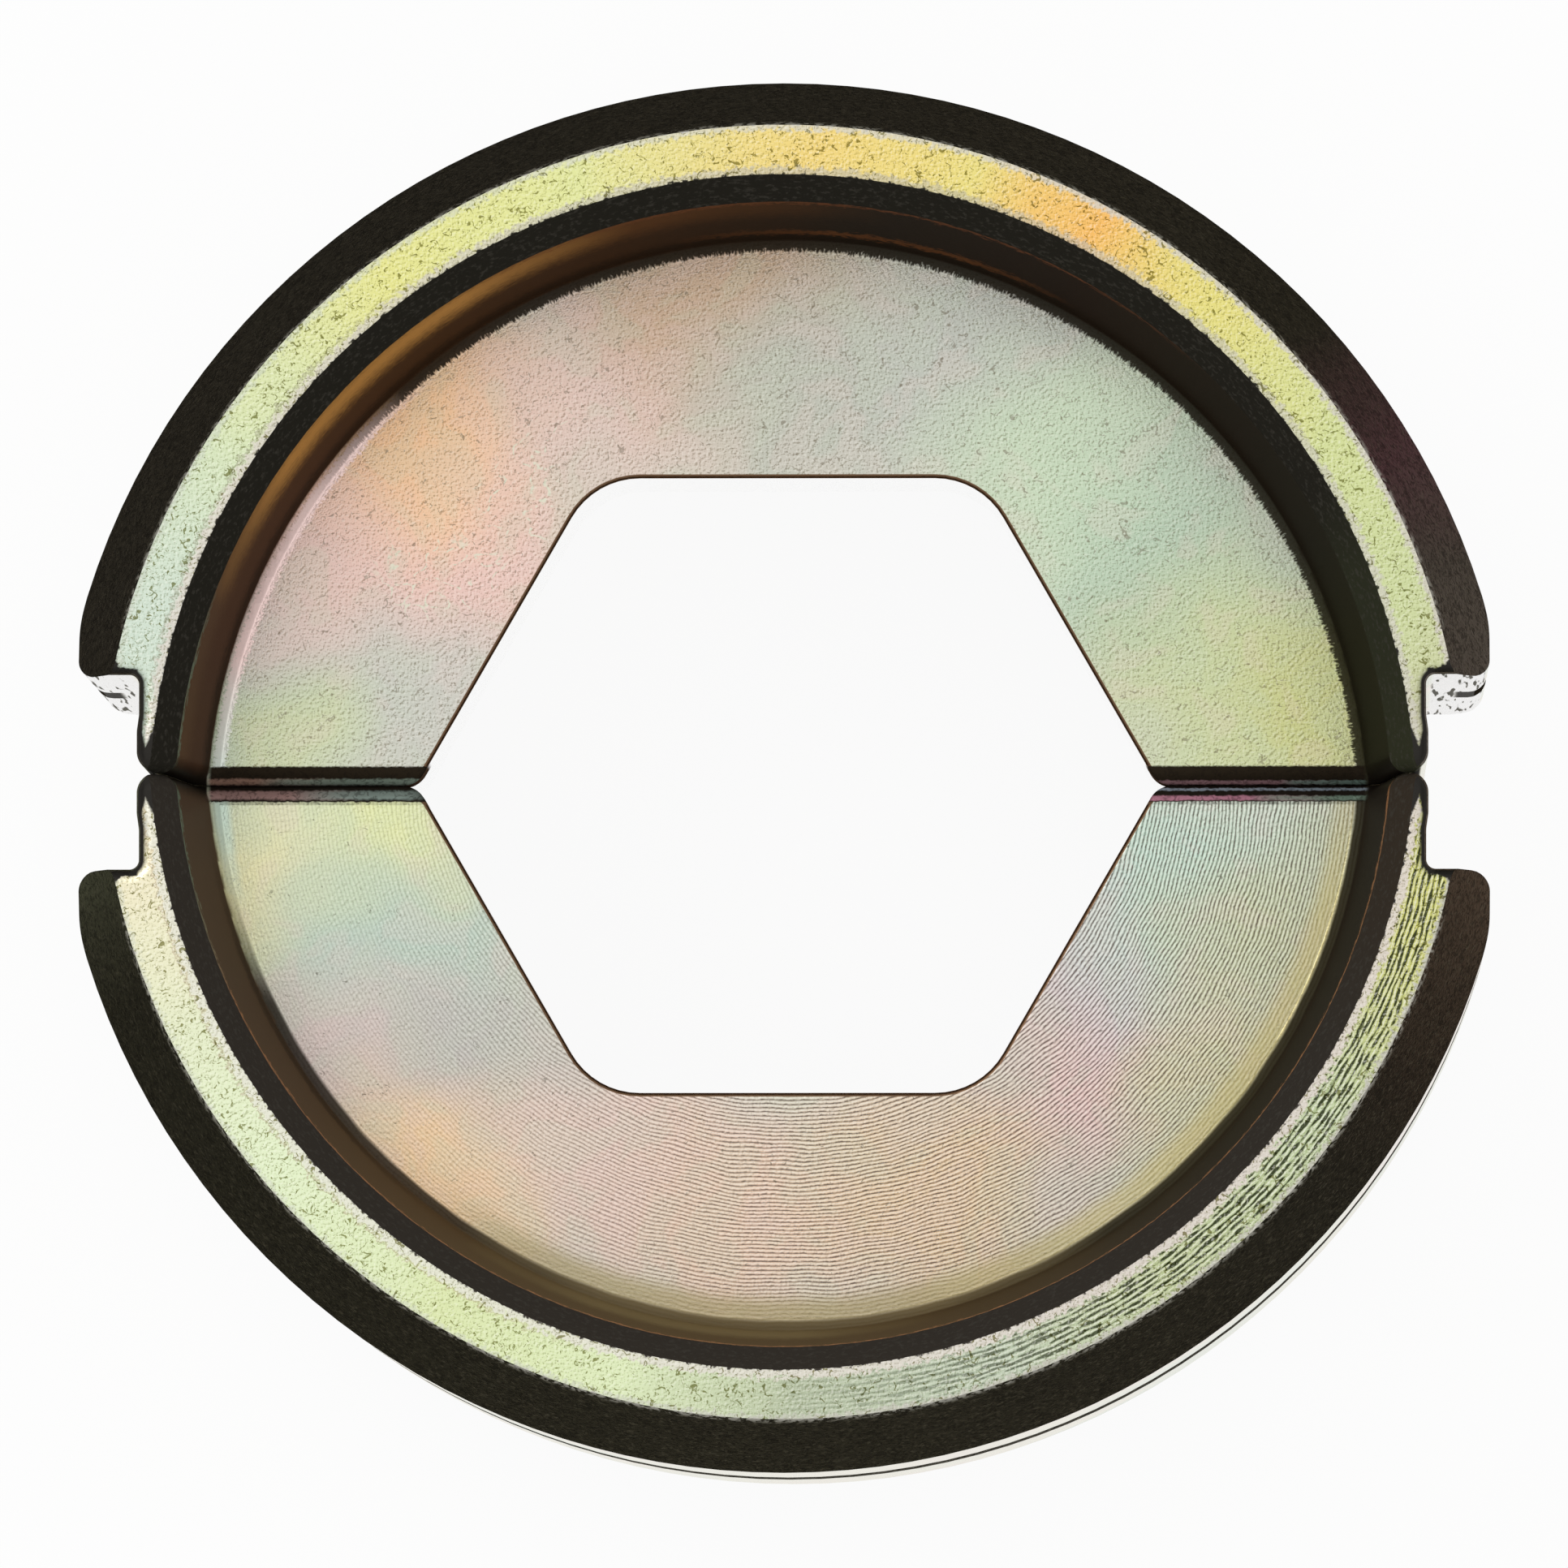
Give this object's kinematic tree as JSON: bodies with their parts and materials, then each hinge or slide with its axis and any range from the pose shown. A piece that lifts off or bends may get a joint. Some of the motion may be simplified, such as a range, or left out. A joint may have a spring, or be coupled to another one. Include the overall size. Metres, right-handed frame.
{
  "type": "crimping die",
  "caption": "Round split crimping die with a thin web, a hexagonal opening, stepped rim ends and a retaining slot round the outside.",
  "frame": {"origin": "centre of the closed die's footprint, on the face that it lies on", "axes": "+Z along the crimping axis, +Y the way the upper half opens, +X across the joint between the halves"},
  "size_m": [0.0444, 0.0438, 0.028],
  "materials": {
    "plated_steel": "yellow iridescent zinc plating"
  },
  "bodies": {
    "root": {"upper_die_half": "plated_steel", "lower_die_half": "plated_steel"}
  },
  "joints": []
}
